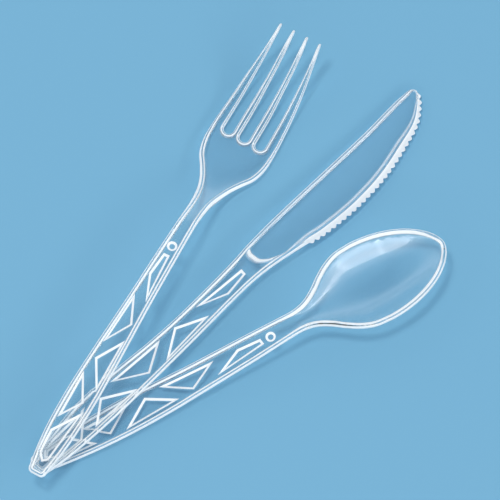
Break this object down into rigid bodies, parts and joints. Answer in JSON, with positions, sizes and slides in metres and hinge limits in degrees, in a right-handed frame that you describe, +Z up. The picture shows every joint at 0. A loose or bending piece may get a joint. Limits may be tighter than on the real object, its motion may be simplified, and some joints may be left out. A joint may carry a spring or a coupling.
{
  "type": "plastic cutlery pack",
  "caption": "Clear plastic fork, knife and spoon with sunk triangles along their handles, kept together and fanned out with their handle ends stacked.",
  "frame": {"origin": "bottom centre of the pack's bounding box, on the table", "axes": "+Z up from the table, +Y away from the viewer towards the fork's tines, +X to the viewer's right, the side where the spoon's bowl lies"},
  "size_m": [0.1456, 0.168, 0.014],
  "materials": {
    "fork_plastic": "clear, polished",
    "knife_plastic": "clear, polished, frosted along the serrated edge",
    "spoon_plastic": "clear, polished"
  },
  "bodies": {
    "root": {"fork": "fork_plastic", "knife": "knife_plastic", "spoon": "spoon_plastic"}
  },
  "joints": []
}
